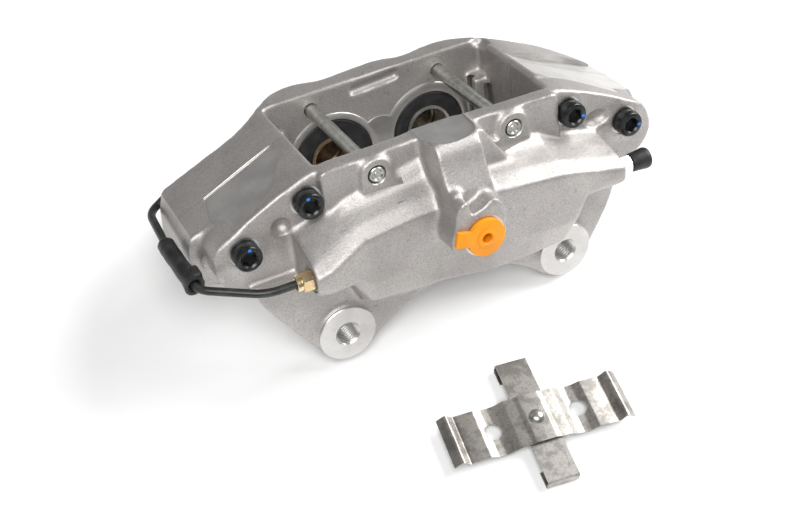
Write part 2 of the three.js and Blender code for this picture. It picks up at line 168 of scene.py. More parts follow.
def prism(outline, low, high, axis="y", segments=4):
    """A closed bar between two heights along an axis. Outline points: across, up, corner radius."""
    bm = bmesh.new()
    corners = [bm.verts.new((point[0], point[1], low)) for point in outline]
    floor_face = bm.faces.new(corners)
    grown = bmesh.ops.extrude_face_region(bm, geom=[floor_face], use_keep_orig=True)
    lifted = [item for item in grown["geom"] if isinstance(item, bmesh.types.BMVert)]
    bmesh.ops.translate(bm, verts=lifted, vec=(0, 0, high - low))
    radii = sorted({point[2] for point in outline if len(point) > 2})
    uprights = {radius: [] for radius in radii}
    for corner, point in zip(corners, outline):
        if len(point) > 2:
            tall = [e for e in corner.link_edges if e.other_vert(corner).co.z > high - 1e-6]
            uprights[point[2]] += tall
    for radius in radii:
        standing = [edge for edge in uprights[radius] if edge.is_valid]
        bmesh.ops.bevel(bm, geom=standing, offset=radius, segments=segments, profile=0.5,
                        affect="EDGES", material=-1, clamp_overlap=True)
    bmesh.ops.transform(bm, matrix=AXES[axis], verts=bm.verts)
    bmesh.ops.recalc_face_normals(bm, faces=bm.faces)
    return bm


def bar(axis, across, up, radius, low, high, sides=48):
    """A cylinder along an axis, or with six sides a hexagonal bar."""
    bm = bmesh.new()
    bmesh.ops.create_cone(bm, cap_ends=True, segments=sides, radius1=radius, radius2=radius,
                          depth=high - low)
    bmesh.ops.translate(bm, verts=bm.verts, vec=(across, up, (low + high) / 2))
    bmesh.ops.transform(bm, matrix=AXES[axis], verts=bm.verts)
    bmesh.ops.recalc_face_normals(bm, faces=bm.faces)
    return bm


def block(x, y, z):
    """A box from its low and high values on each axis."""
    bm = bmesh.new()
    bmesh.ops.create_cube(bm, size=1)
    bmesh.ops.scale(bm, verts=bm.verts, vec=(x[1] - x[0], y[1] - y[0], z[1] - z[0]))
    bmesh.ops.translate(bm, verts=bm.verts, vec=(sum(x) / 2, sum(y) / 2, sum(z) / 2))
    return bm


def turned(profile, axis="y", place=(0, 0, 0), sides=64, flip=False):
    """Spins a profile of radius and height points about its axis, and puts it at a place."""
    bm = bmesh.new()
    sign = -1 if flip else 1
    points = [bm.verts.new((radius, 0, sign * height)) for radius, height in profile]
    edges = [bm.edges.new(pair) for pair in zip(points, points[1:])]
    if profile[0][0] > 0 and profile[-1][0] > 0:
        edges.append(bm.edges.new((points[-1], points[0])))
    bmesh.ops.spin(bm, geom=points + edges, cent=(0, 0, 0), axis=(0, 0, 1), dvec=(0, 0, 0),
                   angle=2 * math.pi, steps=sides, use_merge=True, use_duplicate=False)
    bmesh.ops.remove_doubles(bm, verts=bm.verts, dist=1e-4)
    bmesh.ops.transform(bm, matrix=AXES[axis], verts=bm.verts)
    bmesh.ops.translate(bm, verts=bm.verts, vec=place)
    bmesh.ops.recalc_face_normals(bm, faces=bm.faces)
    return bm


def loft(stations):
    """A body through outlines of y and z points, each given with its x, all with as many points."""
    bm = bmesh.new()
    loops = [[bm.verts.new((x, y, z)) for y, z in outline] for x, outline in stations]
    for near, far in zip(loops, loops[1:]):
        for i in range(len(near)):
            j = (i + 1) % len(near)
            bm.faces.new((near[i], near[j], far[j], far[i]))
    bm.faces.new(loops[0])
    bm.faces.new(loops[-1])
    bmesh.ops.recalc_face_normals(bm, faces=bm.faces)
    return bm


def route(nodes, steps=8):
    """A line through nodes of x, y, z and bend reach, with every bend rounded."""
    points = [Vector(nodes[0][:3])]
    for before, node, after in zip(nodes, nodes[1:], nodes[2:]):
        corner = Vector(node[:3])
        start = corner + (Vector(before[:3]) - corner).normalized() * node[3]
        end = corner + (Vector(after[:3]) - corner).normalized() * node[3]
        for i in range(steps + 1):
            t = i / steps
            points.append(start * (1 - t) ** 2 + corner * 2 * t * (1 - t) + end * t ** 2)
    points.append(Vector(nodes[-1][:3]))
    return points


def sweep(points, radii, sides=20):
    """A round bar along a line. One radius, or one for each point."""
    bm = bmesh.new()
    radii = radii if isinstance(radii, (list, tuple)) else [radii] * len(points)
    ahead = (points[1] - points[0]).normalized()
    across = ahead.orthogonal().normalized()
    loops = []
    for i, (point, radius) in enumerate(zip(points, radii)):
        way = (points[min(i + 1, len(points) - 1)] - points[max(i - 1, 0)]).normalized()
        across = ahead.rotation_difference(way) @ across
        ahead = way
        other = ahead.cross(across)
        loops.append([bm.verts.new(point + radius * (math.cos(a) * across + math.sin(a) * other))
                      for a in (2 * math.pi * k / sides for k in range(sides))])
    for near, far in zip(loops, loops[1:]):
        for k in range(sides):
            bm.faces.new((near[k], near[(k + 1) % sides], far[(k + 1) % sides], far[k]))
    bm.faces.new(loops[0])
    bm.faces.new(loops[-1])
    bmesh.ops.recalc_face_normals(bm, faces=bm.faces)
    return bm


def ball(centre, radii):
    """An ellipsoid."""
    bm = bmesh.new()
    bmesh.ops.create_uvsphere(bm, u_segments=24, v_segments=12, radius=1)
    bmesh.ops.scale(bm, verts=bm.verts, vec=radii)
    bmesh.ops.translate(bm, verts=bm.verts, vec=centre)
    return bm


def soften(bm, width, segments=2):
    """Rounds every edge of a body at which its faces turn by more than 30 degrees."""
    sharp = [e for e in bm.edges if len(e.link_faces) == 2
             and e.calc_face_angle() > math.radians(30)]
    bmesh.ops.bevel(bm, geom=sharp, offset=width, segments=segments, profile=0.5, affect="EDGES",
                    material=-1, clamp_overlap=True)
    return bm


print("shapes ready")

# %% Objects, cuts and finishing
# A boolean keeps a cutter's face index only if both objects have that slot, so every rough object
# starts with the same two. A cast skin's grid is fine enough for its smallest rib, 8 mm wide.
VOXEL = 1.15
FILLET_ROUNDS = 5
PLACEHOLDERS = [bpy.data.materials.new(name) for name in ("skin", "tooled")]


def rough(name, bodies, material_index=0):
    """One object, in millimetres, that holds one or more bmesh bodies."""
    gathered = bmesh.new()
    for body in bodies if isinstance(bodies, (list, tuple)) else [bodies]:
        held = bpy.data.meshes.new("held")
        body.to_mesh(held)
        body.free()
        gathered.from_mesh(held)
        bpy.data.meshes.remove(held)
    for face in gathered.faces:
        face.material_index = material_index
    mesh = bpy.data.meshes.new(name)
    gathered.to_mesh(mesh)
    for placeholder in PLACEHOLDERS:
        mesh.materials.append(placeholder)
    gathered.free()
    made = bpy.data.objects.new(name, mesh)
    bpy.context.scene.collection.objects.link(made)
    return made


def settle(made):
    """Applies the modifiers on an object to its mesh."""
    bpy.context.view_layer.update()
    graph = bpy.context.evaluated_depsgraph_get()
    mesh = bpy.data.meshes.new_from_object(made.evaluated_get(graph), depsgraph=graph)
    old = made.data
    made.modifiers.clear()
    made.data = mesh
    bpy.data.meshes.remove(old)
    return made


def combine(made, tool, operation="DIFFERENCE"):
    """A boolean between two objects. The tool is used up."""
    step = made.modifiers.new("step", "BOOLEAN")
    step.operation = operation
    step.solver = "EXACT"
    step.object = tool
    settle(made)
    spent = tool.data
    bpy.data.objects.remove(tool)
    bpy.data.meshes.remove(spent)
    return made


def cut(made, bodies, material_index=0):
    """Takes one body after another from an object, so that the bodies may cross each other."""
    for body in bodies if isinstance(bodies, (list, tuple)) else [bodies]:
        combine(made, rough("tool", body, material_index))
    return made


def cast(made):
    """Fuses overlapping lumps into one skin and softens its corners as a mould's fillets do."""
    skin = made.modifiers.new("skin", "REMESH")
    skin.mode = "VOXEL"
    skin.voxel_size = VOXEL
    fillets = made.modifiers.new("fillets", "SMOOTH")
    fillets.factor = 0.5
    fillets.iterations = FILLET_ROUNDS
    return settle(made)


def finish(made, body, slot, materials, replaces=(), crease=32, place=CALIPER):
    """Moves a rough object to its place in metres, shades it, and hands it to the frame."""
    made.data.transform(place)
    wanted = materials if isinstance(materials, (list, tuple)) else [materials]
    for index, material in enumerate(wanted):
        made.data.materials[index] = material
    while len(made.data.materials) > len(wanted):
        made.data.materials.pop()
    made.data.polygons.foreach_set("use_smooth", [True] * len(made.data.polygons))
    made.data.set_sharp_from_angle(angle=math.radians(crease))
    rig.ride(made, body)
    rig.slot(made, slot)
    if replaces:
        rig.replaces(made, *([replaces] if isinstance(replaces, str) else replaces))
    triangles = sum(len(face.vertices) - 2 for face in made.data.polygons)
    print(f"{made.name}: {triangles} triangles on {body}")
    return made


print("helpers ready")

# %% [markdown]
# ## Shader arithmetic
# A material is easiest to read as sums. This small class wraps a node's output, and each operator on
# it adds one Math node. Every other node comes from `make`, which takes the node's type, its
# settings, and what goes into its sockets.

# %% Wires and nodes
class Wire:
    """A node's output that takes part in arithmetic."""

    def __init__(self, tree, socket):
        self.tree, self.socket = tree, socket

    def _math(self, operation, *values):
        return make(self.tree, "ShaderNodeMath", {"operation": operation}, dict(enumerate(values)))

    def __add__(self, other):
        return self._math("ADD", self, other)

    def __sub__(self, other):
        return self._math("SUBTRACT", self, other)

    def __rsub__(self, other):
        return self._math("SUBTRACT", other, self)

    def __mul__(self, other):
        return self._math("MULTIPLY", self, other)

    __radd__ = __add__
    __rmul__ = __mul__

    def ramp(self, low, high):
        """0 below low, 1 above high, and smooth between them."""
        return make(self.tree, "ShaderNodeMapRange", {"interpolation_type": "SMOOTHSTEP"},
                    {"Value": self, "From Min": low, "From Max": high})


def make(tree, kind, settings=None, inputs=None, output=0):
    """Adds a node, makes its settings, fills its sockets, and gives back one output."""
    node = tree.nodes.new(kind)
    for name, value in (settings or {}).items():
        setattr(node, name, value)
    for name, value in (inputs or {}).items():
        if isinstance(value, Wire):
            tree.links.new(value.socket, node.inputs[name])
        else:
            node.inputs[name].default_value = value
    return Wire(tree, node.outputs[output])


def place_of(tree, stretch=(1, 1, 1)):
    """Object coordinates, stretched or not, so that a pattern stays on its piece."""
    here = make(tree, "ShaderNodeTexCoord", output=3)
    return make(tree, "ShaderNodeMapping", {"vector_type": "POINT"},
                {"Vector": here, "Scale": stretch})


def noise(tree, where, scale, detail=3, roughness=0.5, distortion=0):
    """A noise from 0 to 1. The scale is in features per metre."""
    return make(tree, "ShaderNodeTexNoise", {"noise_dimensions": "3D"},
                {"Vector": where, "Scale": scale, "Detail": detail, "Roughness": roughness,
                 "Distortion": distortion})


def mix(tree, amount, first, second):
    """A colour between two colours. Either may be a wire."""
    node = tree.nodes.new("ShaderNodeMix")
    node.data_type = "RGBA"
    for name, value in (("Factor", amount), ("A", first), ("B", second)):
        kind = "Factor_Float" if name == "Factor" else f"{name}_Color"
        socket = next(s for s in node.inputs if s.identifier == kind)
        if isinstance(value, Wire):
            tree.links.new(value.socket, socket)
        elif name == "Factor":
            socket.default_value = value
        else:
            socket.default_value = (*value, 1)
    return Wire(tree, next(s for s in node.outputs if s.identifier == "Result_Color"))


def surface(name, colour, roughness, metallic, bumps=(), **constants):
    """A finished material. Bumps are (height wire, distance in metres, strength), coarse to fine."""
    material = bpy.data.materials[name]
    tree = material.node_tree
    shader = tree.nodes["Principled BSDF"]
    normal = None
    for height, distance, strength in bumps:
        inputs = {"Height": height, "Distance": distance, "Strength": strength}
        if normal:
            inputs["Normal"] = normal
        normal = make(tree, "ShaderNodeBump", None, inputs)
    wanted = {"Base Color": colour, "Roughness": roughness, "Metallic": metallic, **constants}
    if normal:
        wanted["Normal"] = normal
    for socket, value in wanted.items():
        if isinstance(value, Wire):
            tree.links.new(value.socket, shader.inputs[socket])
        else:
            shader.inputs[socket].default_value = value
    print("material", name, len(tree.nodes), "nodes")
    return material


def blank(name):
    """A new material and its node tree."""
    material = bpy.data.materials.new(name)
    material.use_nodes = True
    return material.node_tree


print("shader tools ready")

# %% [markdown]
# ## Finishes
# The castings are aluminium, blasted with fine beads: the skin is a warm light grey, evenly matt,
# with a grain that is just visible, a few darker pores, and cloudy patches where the blast was
# uneven. A bead-blasted skin scatters light more than bare metal, so it is not fully metallic here.

# %% Bead-blasted cast aluminium
tree = blank("cast_aluminium")
here = place_of(tree)
cloud = noise(tree, here, 28, 4, 0.55)
grain = noise(tree, here, 1300, 3, 0.75)
speck = noise(tree, here, 620, 2, 0.6)
pores = noise(tree, here, 240, 2, 0.4).ramp(0.69, 0.74)
tone = mix(tree, cloud.ramp(0.3, 0.7), (0.475, 0.452, 0.438), (0.59, 0.565, 0.548))
tone = mix(tree, grain.ramp(0.38, 0.66) * 0.6, tone, (0.27, 0.255, 0.245))
tone = mix(tree, pores * 0.3, tone, (0.2, 0.19, 0.18))
CAST = surface("cast_aluminium", tone, 0.41 + speck * 0.2, 0.84,
               [(speck, 0.0003, 0.4), (grain, 0.00016, 0.55)])

# %% [markdown]
# Machined faces are cut after casting. They are smoother and brighter, and they keep the tool's fine
# parallel marks, which here are one noise stretched along the direction of the cut.

# %% Machined aluminium
tree = blank("machined_aluminium")
marks = noise(tree, place_of(tree, (60, 900, 900)), 1.6, 2, 0.5)
soft = noise(tree, place_of(tree), 70, 3, 0.5)
tone = mix(tree, soft.ramp(0.3, 0.7), (0.62, 0.605, 0.585), (0.74, 0.725, 0.705))
tone = mix(tree, marks.ramp(0.4, 0.75) * 0.3, tone, (0.48, 0.465, 0.445))
MACHINED = surface("machined_aluminium", tone, 0.27 + soft * 0.14, 0.88,
                   [(marks, 0.00006, 0.5)])

# %% [markdown]
# The other finishes follow the same pattern: one or two noises for what varies in the real
# treatment, and the shader's own sockets for the rest. The bolts are chemically blackened and oiled,
# the pipe has a thick dark coat, the tube nuts are yellow zinc with an uneven tint, and the spring is
# rolled stainless with heat-tint blotches.

# %% Black oxide, black pipe coating, zinc and stainless
tree = blank("black_oxide")
wear = noise(tree, place_of(tree), 420, 4, 0.6)
tone = mix(tree, wear.ramp(0.45, 0.75), (0.010, 0.0105, 0.011), (0.035, 0.036, 0.038))
BLACK_OXIDE = surface("black_oxide", tone, 0.22 + wear * 0.22, 0.4,
                      [(noise(tree, place_of(tree), 1600, 2), 0.00005, 0.4)],
                      **{"Coat Weight": 0.25, "Coat Roughness": 0.15})

tree = blank("black_pipe_coat")
grime = noise(tree, place_of(tree), 180, 4, 0.6)
tone = mix(tree, grime.ramp(0.4, 0.8), (0.016, 0.018, 0.016), (0.045, 0.049, 0.042))
PIPE_COAT = surface("black_pipe_coat", tone, 0.28 + grime * 0.2, 0.1,
                    [(noise(tree, place_of(tree), 500, 3), 0.00008, 0.3)])

tree = blank("yellow_passivate")
bloom = noise(tree, place_of(tree), 230, 3, 0.6, 0.6)
tone = mix(tree, bloom.ramp(0.35, 0.65), (0.70, 0.58, 0.28), (0.72, 0.46, 0.33))
tone = mix(tree, noise(tree, place_of(tree), 520, 2).ramp(0.5, 0.7), tone, (0.82, 0.79, 0.60))
YELLOW_ZINC = surface("yellow_passivate", tone, 0.20 + bloom * 0.12, 0.92)

tree = blank("satin_zinc")
spangle = noise(tree, place_of(tree), 260, 3, 0.5)
tone = mix(tree, spangle.ramp(0.35, 0.7), (0.40, 0.405, 0.37), (0.56, 0.565, 0.53))
SATIN_ZINC = surface("satin_zinc", tone, 0.24 + spangle * 0.16, 0.95,
                     [(noise(tree, place_of(tree), 900, 2), 0.00004, 0.4)])

tree = blank("bright_zinc")
spangle = noise(tree, place_of(tree), 300, 3, 0.5)
tone = mix(tree, spangle.ramp(0.35, 0.7), (0.70, 0.71, 0.71), (0.86, 0.87, 0.88))
BRIGHT_ZINC = surface("bright_zinc", tone, 0.12 + spangle * 0.1, 0.98,
                      [(noise(tree, place_of(tree), 900, 2), 0.00003, 0.3)])

tree = blank("rolled_stainless")
blotch = noise(tree, place_of(tree), 95, 5, 0.7)
streak = noise(tree, place_of(tree, (40, 700, 200)), 2.2, 3)
tone = mix(tree, blotch.ramp(0.44, 0.60), (0.46, 0.44, 0.41), (0.28, 0.265, 0.245))
tone = mix(tree, noise(tree, place_of(tree), 620, 3, 0.75).ramp(0.52, 0.66) * 0.7, tone,
           (0.24, 0.23, 0.215))
STAINLESS = surface("rolled_stainless", tone, 0.30 + blotch * 0.16, 0.97,
                    [(streak, 0.00004, 0.3), (noise(tree, place_of(tree), 1300, 2), 0.00006, 0.35)])
print("metals done")

# %% Rubber, plug plastic, piston metal and bolt paint
tree = blank("moulded_rubber")
bloom = noise(tree, place_of(tree), 150, 4, 0.6)
tone = mix(tree, bloom.ramp(0.35, 0.75), (0.009, 0.009, 0.0095), (0.026, 0.026, 0.027))
RUBBER = surface("moulded_rubber", tone, 0.38 + bloom * 0.22, 0.0,
                 [(noise(tree, place_of(tree), 1100, 3), 0.00007, 0.35)])

tree = blank("orange_plastic")
melt = noise(tree, place_of(tree), 90, 3, 0.5)
tone = mix(tree, melt.ramp(0.3, 0.7), (0.80, 0.27, 0.0012), (0.86, 0.32, 0.002))
ORANGE = surface("orange_plastic", tone, 0.40 + melt * 0.12, 0.0,
                 [(noise(tree, place_of(tree), 800, 3), 0.00005, 0.3)],
                 **{"Subsurface Weight": 0.05, "Subsurface Scale": 0.002})


def piston_metal(name, low, high):
    """Anodised piston metal, with faint turning marks round the bore."""
    tree = blank(name)
    rings = noise(tree, place_of(tree), 300, 3, 0.5)
    tone = mix(tree, rings.ramp(0.35, 0.7), low, high)
    return surface(name, tone, 0.24 + rings * 0.14, 0.9,
                   [(noise(tree, place_of(tree), 1500, 2), 0.00004, 0.3)])


BRONZE = piston_metal("bronze_anodise", (0.46, 0.33, 0.22), (0.60, 0.45, 0.32))
SILVER = piston_metal("clear_anodise", (0.42, 0.41, 0.39), (0.56, 0.55, 0.53))
# The cup's inside is piston metal painted dark brown: painted shade for the deep hollow.
CUP_PAINTED_SHADE = piston_metal("cup_painted_shade", (0.075, 0.06, 0.045), (0.15, 0.12, 0.09))

tree = blank("blue_paint_dab")
daub = noise(tree, place_of(tree), 500, 3)
BLUE_DAB = surface("blue_paint_dab",
                   mix(tree, daub.ramp(0.3, 0.7), (0.0, 0.13, 0.50), (0.01, 0.22, 0.75)),
                   0.35 + daub * 0.1, 0.0)
print("all finishes done")

# %% [markdown]
# ## The inboard casting
# A casting is one skin with a fillet in every inner corner. Modelling those fillets by hand is slow,
# so the casting is built as a founder's pattern is: plain lumps that overlap. A voxel remesh fuses
# them, a few rounds of smoothing give the fillets, and only then do the machined cuts come, which
# stay crisp, as they are on the real part.

# %% Shared measures of both castings
SPLIT = 54.75
HALF_GAP = 0.15
INNER = {"inboard": 14.5, "outboard": 95}
PISTON_X, PISTON_Z = 33.5, 60
BORE = {"left": 22, "right": 20}
BORE_DEPTH = {"inboard": {"left": 26, "right": 28}, "outboard": {"left": 26, "right": 26}}
BOOT_EXTRA = 4.8
RING_PROUD = 1.5
PIN_X, PIN_Z = 43.6, 97.4
LUG_X = 75
BOLTS = [(-123.9, 73), (-84.3, 91.9), (84.3, 91.9), (123.9, 73)]
WINDOW = 74
HOSE_PORT_Z = 61
# Along x: the inboard half's two ports share one line, the outboard half's don't. As y and z.
INNER_PORT, OUTER_PIPE_PORT, OUTER_BLEEDER_PORT = (-15, 57), (117, 69), (117, 57)
SIDES = (("left", -1), ("right", 1))

# Outlines of the arch seen along the axle, as x, z and corner radius. The plate that the bolt heads
# press on is the same at both ends. The bridges behind it reach further out, and their ends differ.
FRONT_END = [(133, 46, 6), (143.5, 54, 8), (145, 66, 9), (140, 79, 9), (127, 86, 14), (104, 98, 20),
             (80, 107.5, 14), (66, 108.5, 6)]
CREST_RIGHT = [(134, 44, 6), (146, 56, 6), (148.5, 68, 4), (144, 79.5, 4), (127, 89, 14),
               (104, 100.5, 20), (80, 109, 12), (66, 110, 5)]
CREST_LEFT = [(-66, 108.5, 5), (-80, 107.5, 12), (-104, 97.5, 18), (-127, 86.5, 10),
              (-148, 78, 2), (-152.5, 71, 2), (-154, 56, 4), (-150, 47, 4), (-134, 42, 6)]
UNDERSIDE = [(-100, 40), (-70, 30), (70, 30), (100, 40)]
FRONT = FRONT_END + [(-x, z, r) for x, z, r in reversed(FRONT_END)] + UNDERSIDE
CREST = CREST_RIGHT + CREST_LEFT + UNDERSIDE


def disc_space():
    """The disc turns in here."""
    return bar("y", 0, -77, 170, INNER["inboard"], INNER["outboard"], sides=160)


def window_space():
    """The pads go in and out here."""
    return block((-WINDOW, WINDOW), (INNER["inboard"], INNER["outboard"]), (-20, 140))


def fuse(made, name, bodies):
    """Adds lumps to an object and casts the whole."""
    extra = rough(name, bodies)
    bpy.ops.object.select_all(action="DESELECT")
    made.select_set(True)
    extra.select_set(True)
    bpy.context.view_layer.objects.active = made
    bpy.ops.object.join()
    return cast(made)


def facet(plan, low, high, centre, height, slope):
    """A cutter for a flat that slopes with x, above a plan of x and y points."""
    bm = prism(plan, 0, 60, "z", segments=6)
    for vert in bm.verts:
        vert.co.z += height - slope * (abs(vert.co.x) - centre)
    bmesh.ops.bisect_plane(bm, geom=bm.verts[:] + bm.edges[:] + bm.faces[:], plane_co=(0, low, 0),
                           plane_no=(0, -1, 0), clear_outer=True)
    bmesh.ops.holes_fill(bm, edges=bm.edges)
    bmesh.ops.bisect_plane(bm, geom=bm.verts[:] + bm.edges[:] + bm.faces[:], plane_co=(0, high, 0),
                           plane_no=(0, 1, 0), clear_outer=True)
    bmesh.ops.holes_fill(bm, edges=bm.edges)
    bmesh.ops.recalc_face_normals(bm, faces=bm.faces)
    return bm


LEFT_FLAT = [(-60, 60), (-60, 42), (-90, 36, 8), (-94, 22, 10), (-110, 12, 14), (-124, 9.4, 6),
             (-130, 14, 6), (-134, 34, 8), (-128, 60)]
RIGHT_FLAT = [(60, 70), (60, 34), (84, 27, 6), (100, 27, 8), (116, 21, 10), (140, 16), (160, 16),
              (160, 71), (120, 72, 20), (95, 66, 20)]
# The left end is trimmed to flats, seen along the axle and from above.
END_TRIM = [(-144.5, 82), (-149.2, 72), (-150.8, 56), (-147, 47), (-143, 38), (-175, 38), (-175, 95)]
BACK_TRIM = [(-175, 84), (-149, 84), (-143.5, 89.2), (-102, 89.2), (-102, 105), (-175, 105)]
print("measures ready")

# %% Lumps of the inboard half
inboard = rough("inboard_casting", prism(FRONT, 8, 34))
combine(inboard, rough("crest", prism(CREST, 29, SPLIT + 4)), "UNION")
cut(inboard, [window_space(), disc_space()])
strip_wall = prism([(-76, 70), (-76, 107.2, 3), (-16, 109.5, 8), (20, 109.5, 8), (76, 108.2, 3),
                    (76, 70)], 3, INNER["inboard"])
LOG = [  # each x, then y and z round the body from under the wall to above it
    (-96, [(14.5, 42), (0, 45), (-19, 47), (-25, 53), (-25, 61), (-19, 66), (-8, 70),
           (6, 75), (14.5, 84)]),
    (-86, [(14.5, 41), (0, 42), (-19, 45), (-25, 51), (-24.5, 63), (-16, 69), (-4, 75),
           (7, 80), (14.5, 90)]),
    (-72, [(14.5, 38), (0, 40), (-15, 43), (-22, 50), (-21, 68), (-12, 75), (-3, 80),
           (6, 85), (14.5, 97)]),
    (-62, [(14.5, 22), (0, 19), (-13, 26), (-19, 42), (-18.8, 71), (-12, 78), (-3, 83.5),
           (3, 89), (14.5, 103)]),
    (-35, [(14.5, 18), (0, 13), (-13, 24), (-18.5, 42), (-18.5, 74), (-12, 80.5),
           (-3, 86), (1.5, 93), (14.5, 107)]),
    (-17, [(14.5, 18), (0, 13), (-14, 24), (-19, 42), (-19, 75), (-12, 82), (-3.5, 88),
           (1, 96), (14.5, 109)]),
    (-3, [(14.5, 18), (0, 13), (-18, 24), (-24, 42), (-23.5, 77), (-14, 84), (-5, 90),
          (1, 98), (14.5, 109)]),
    (12, [(14.5, 18), (0, 13), (-22, 24), (-28, 42), (-27.5, 79), (-18, 84), (-7, 89),
          (0, 98), (14.5, 109)]),
    (36, [(14.5, 18), (0, 13), (-22, 24), (-28, 42), (-28, 76.5), (-19, 82), (-6, 87),
          (1.5, 93), (14.5, 107)]),
    (60, [(14.5, 20), (0, 15), (-21, 24), (-28, 40), (-28, 74), (-19, 79), (-5, 83.5),
          (3, 88), (14.5, 102)]),
    (68, [(14.5, 25), (0, 25), (-19, 29), (-27.5, 42), (-27.3, 72), (-18, 76.5), (-4, 80),
          (6, 84), (14.5, 94)]),
    (76, [(14.5, 45), (0, 46), (-18, 47.5), (-26, 54), (-26, 69), (-17, 73.5), (-4, 77),
          (7, 80), (14.5, 90)]),
    (89, [(14.5, 46), (0, 46), (-18, 47.5), (-25.3, 54), (-25, 65), (-16, 69.5),
          (-4, 73.5), (7, 77), (14.5, 86)]),
    (104, [(14.5, 46), (0, 46), (-18, 47.5), (-24.5, 53), (-24.5, 61), (-17, 66.5),
           (-8, 69), (6, 72), (14.5, 78)]),
]
tower = prism([(15, 60), (15, 111), (-13, 111), (-17.5, 107, 3), (-20, 98, 4), (-27, 84), (-27, 60)],
              -14.5, 14, "x")
tower_flank = prism([(-15, 111), (18, 111, 3), (25, 99, 6), (34, 86), (34, 70), (-15, 70)], -11, 12)
LUG_WEB = [
    (-126, 50), (-118, 31, 6), (-101, 5, 8), (-88, -15, 8), (-62, -17, 9), (-54, -9, 6),
    (-34, 4, 14), (0, 12.5, 20), (32, 6, 14), (54, -8, 6), (62, -17, 9), (86, -16, 8),
    (97, -1, 8), (112, 24, 8), (118, 50),
]
lug_web = prism(LUG_WEB, 3.2, 16.4)
lug_eyes = [bar("y", s * LUG_X, 0, 17.9, 0.6, 16.4) for _, s in SIDES]
pin_bosses = []
for _, s in SIDES:
    pin_bosses += [bar("y", s * PIN_X, PIN_Z, 10.2, -1.0, INNER["inboard"]),
                   block((s * PIN_X - 9.8, s * PIN_X + 9.8), (-1.0, 14), (84, PIN_Z))]
bolt_pads = [bar("y", x, z, 12, 7, 20) for x, z in BOLTS]
port_lumps = [
    bar("y", 0, HOSE_PORT_Z, 14.4, -38.6, -8),
    prism([(-6, 50), (-12, 51, 3), (-19.8, 57, 2), (-19.8, 66, 2), (-16.6, 72, 3), (-15.8, 81, 2),
           (-11, 87, 3), (-7, 84, 2), (-8, 74)], -38.6, -10),
    prism([(-9, 72), (-5, 78, 4), (1.5, 78.5, 4), (6, 83.5, 3), (12, 80, 4), (15.8, 71, 4), (14, 62)],
          -38.6, -10),
    bar("y", -10, 84, 4.2, -30, -4)]
fuse(inboard, "lumps", [strip_wall, loft(LOG), tower, tower_flank, lug_web]
     + port_lumps + lug_eyes + pin_bosses + bolt_pads)
cut(inboard, [ball((-100.5, 7.5, 80.5), (6, 5.4, 5.4)), ball((105, 7.5, 80), (8.5, 5.4, 5.6)),
              prism([(-140, 60), (-166, 60), (-166, 40), (-134, 40)], 0, 27),
              prism([(-142, 72), (-166, 80), (-166, 40), (-140, 40)], 0, 24)])
cast(inboard)
print("inboard skin:", len(inboard.data.polygons), "faces")

# %% [markdown]
# Machining comes last. Each cutter is one body, and its faces carry the machined finish, so the
# boolean leaves a bright face with a sharp edge wherever it has passed. A few cuts are cast ones, such
# as the dimples between the bolts, and those keep the skin's own finish.

# %% Machining shared by both halves
ALLOY = 1  # the castings' second material, for what a tool has cut


def bore_tools(half):
    """The bore, its seal groove and the boot's recess, for both pistons of one half."""
    into = -1 if half == "inboard" else 1
    face = INNER[half] - into * RING_PROUD
    tools = []
    for side, sign in SIDES:
        radius = BORE[side]
        depth = BORE_DEPTH[half][side]
        tools.append(turned([
            (0, -5), (radius + BOOT_EXTRA + 0.9, -5), (radius + BOOT_EXTRA + 0.9, -0.4),
            (radius + BOOT_EXTRA, 0.5), (radius + BOOT_EXTRA, 4.2), (radius, 4.2), (radius, 6),
            (radius + 2.6, 6), (radius + 2.6, 9.6), (radius, 9.6), (radius, depth), (0, depth),
        ], "y", (sign * PISTON_X, face, PISTON_Z), 96, flip=into < 0))
    return tools


def ring_lands(half):
    """The machined pads round the bores, and the bead that joins them in the middle."""
    into = -1 if half == "inboard" else 1
    face = INNER[half] - into * RING_PROUD
    rings = [turned([(0, 0), (28.4, 0), (30.6, 0.9), (31.4, 2.2), (31.4, 5), (0, 5)], "y",
                    (sign * PISTON_X, face, PISTON_Z), 128, flip=into < 0) for _, sign in SIDES]
    bead = prism([(-12, 70), (-8, 76.5), (-4, 79, 3), (4, 79, 3), (8, 76.5), (12, 70), (12, 50),
                  (8, 43.5), (4, 41, 3), (-4, 41, 3), (-8, 43.5), (-12, 50)],
                 min(face + into * 0.7, face + into * 5), max(face + into * 0.7, face + into * 5))
    return rings + [soften(bead, 0.6)]


def bolt_holes():
    """One clear hole for each bridge bolt, through both halves."""
    return [bar("y", x, z, 5.3, 0, 78, 32) for x, z in BOLTS]


def thread(radius, pitch, low, high, axis, place):
    """A cutter for a threaded hole. The grooves stand for the thread's turns."""
    profile = [(0, low), (radius, low)]
    height = low
    while height + pitch < high:
        profile += [(radius, height + 0.12 * pitch), (radius + 0.6 * pitch, height + 0.5 * pitch),
                    (radius, height + 0.88 * pitch)]
        height += pitch
    return turned(profile + [(radius, high), (0, high)], axis, place, 48)


print("tools ready")

